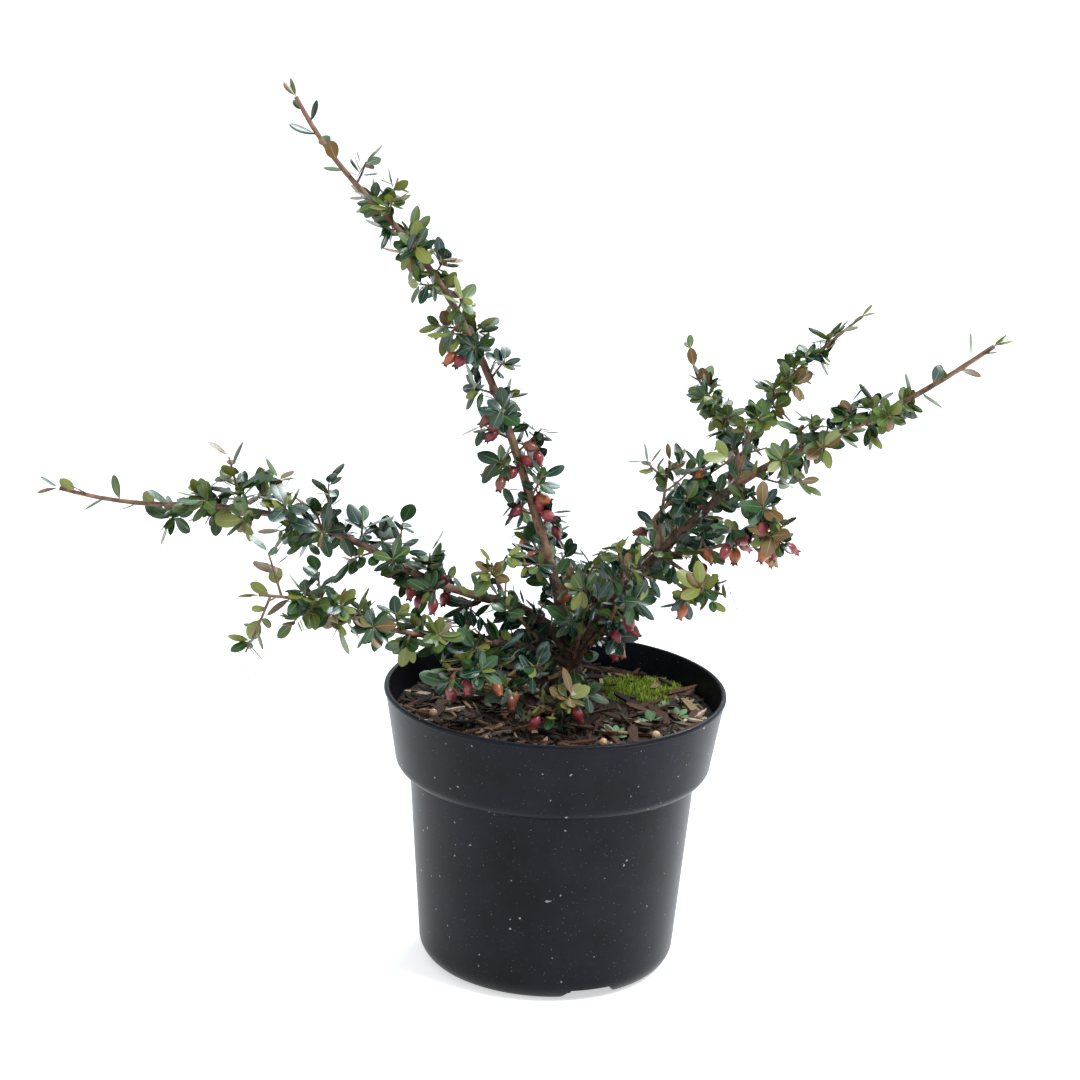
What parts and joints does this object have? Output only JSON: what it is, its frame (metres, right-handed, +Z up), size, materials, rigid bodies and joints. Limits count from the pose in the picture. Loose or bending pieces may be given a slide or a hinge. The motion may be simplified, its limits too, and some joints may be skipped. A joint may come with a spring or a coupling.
{
  "type": "potted shrub",
  "caption": "Potted bearberry cotoneaster: a young arching shrub with small glossy leaves and red fruit in a plain dark nursery pot.",
  "frame": {"origin": "centre of the pot's underside, level with the floor", "axes": "+Z up, +X to the plant's right, -Y to its front"},
  "size_m": [0.4616, 0.252, 0.4303],
  "materials": {
    "pot_plastic": "satin",
    "potting_mix": "matte",
    "moss": "matte",
    "bark": "matte",
    "foliage": "satin"
  },
  "bodies": {
    "root": {"pot": "pot_plastic", "potting_mix": "potting_mix", "moss": "moss", "trunk": "bark", "upright_bough": "bark", "left_bough": "bark", "low_left_bough": "bark", "right_bough": "bark", "right_bough_outer": "bark", "back_bough": "bark", "upright_foliage": "foliage", "left_foliage": "foliage", "low_left_foliage": "foliage", "right_foliage": "foliage", "back_foliage": "foliage", "upper_right_foliage": "foliage", "inner_right_foliage": "foliage", "hanging_right_foliage": "foliage", "front_right_foliage": "foliage", "top_right_foliage": "foliage", "along_right_foliage": "foliage", "under_right_foliage": "foliage", "upright_side_foliage": "foliage", "base_right_foliage": "foliage", "middle_foliage": "foliage", "base_left_foliage": "foliage", "base_front_left_foliage": "foliage", "base_front_foliage": "foliage", "back_left_foliage": "foliage", "back_right_foliage": "foliage"}
  },
  "joints": []
}
